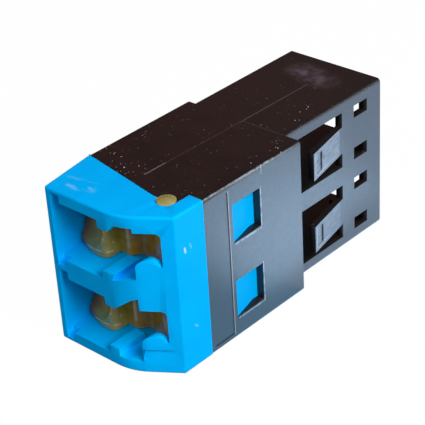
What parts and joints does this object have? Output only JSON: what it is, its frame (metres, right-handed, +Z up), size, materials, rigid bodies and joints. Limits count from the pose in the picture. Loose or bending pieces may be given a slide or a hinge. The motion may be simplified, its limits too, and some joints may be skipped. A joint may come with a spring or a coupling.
{
  "type": "lc fibre adapter",
  "caption": "Snap-in fibre-optic adapter: black housing with panel latches, blue nose with sprung shutters in its ports, and split sleeves inside that line up the ferrules.",
  "frame": {"origin": "middle of the bottom face's box, on the surface that the adapter lies on", "axes": "+Y along the plugs' way, from the blue nose to the rear ports; +Z up, from the lower port to the upper one; +X to the side with the panel latches"},
  "size_m": [0.011, 0.0268, 0.0128],
  "materials": {
    "housing_plastic": "fine moulded satin",
    "nose_plastic": "moulded satin",
    "shutter_plastic": "smooth amber, slightly translucent",
    "zirconia": "ground ceramic",
    "spring_steel": "drawn bright"
  },
  "bodies": {
    "adapter": {"housing": "housing_plastic", "nose": "nose_plastic", "sleeve_holder": "housing_plastic", "sleeve_lower": "zirconia", "sleeve_upper": "zirconia", "spring_lower": "spring_steel", "spring_upper": "spring_steel"},
    "lower_shutter": {"shutter_lower": "shutter_plastic"},
    "upper_shutter": {"shutter_upper": "shutter_plastic"}
  },
  "joints": [
    {"name": "lower_shutter_hinge", "type": "hinge", "parent": "adapter", "child": "lower_shutter", "pos_m": [0.00347, -0.00983, 0.00328], "axis": [0, 0, -1], "range_deg": [0, 88], "stiffness_Nm_per_rad": 0.0003, "springref_deg": -28.65, "deforming": ["spring_lower"]},
    {"name": "upper_shutter_hinge", "type": "hinge", "parent": "adapter", "child": "upper_shutter", "pos_m": [0.00347, -0.00983, 0.00953], "axis": [0, 0, -1], "range_deg": [0, 88], "stiffness_Nm_per_rad": 0.0003, "springref_deg": -28.65, "deforming": ["spring_upper"]}
  ]
}
